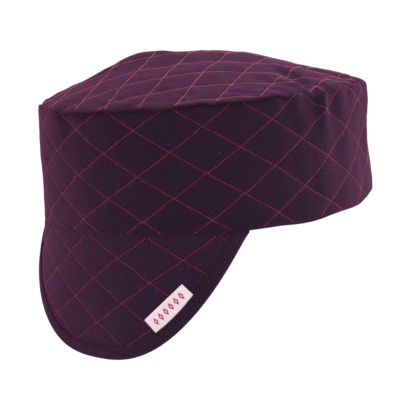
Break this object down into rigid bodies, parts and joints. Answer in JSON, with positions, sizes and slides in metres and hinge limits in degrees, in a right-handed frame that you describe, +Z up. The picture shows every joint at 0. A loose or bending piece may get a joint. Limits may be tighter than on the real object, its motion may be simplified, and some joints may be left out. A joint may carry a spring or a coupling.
{
  "type": "quilted cloth work cap with short hanging bill",
  "caption": "Deep round cap of diamond-quilted cloth with a tented top panel and a short soft bill that hangs below the rim, worn on the head.",
  "frame": {"origin": "middle of the head opening at the height of the rim, where the cap sits on a head", "axes": "+Z up through the crown, -Y to the front where the bill hangs, +X to the wearer's left"},
  "size_m": [0.1889, 0.202, 0.1605],
  "materials": {
    "quilted_twill": "dark plum cotton twill, quilted in diamonds with red thread",
    "plain_twill": "dark plum twill tape, plain",
    "label_satin": "pale pink woven satin with a small red diamond motif",
    "quilting_thread": "red sewing thread with a slight shine"
  },
  "bodies": {
    "root": {"crown_side": "quilted_twill", "crown_top": "quilted_twill", "bill": "quilted_twill", "bill_binding": "plain_twill", "label": "label_satin"}
  },
  "joints": []
}
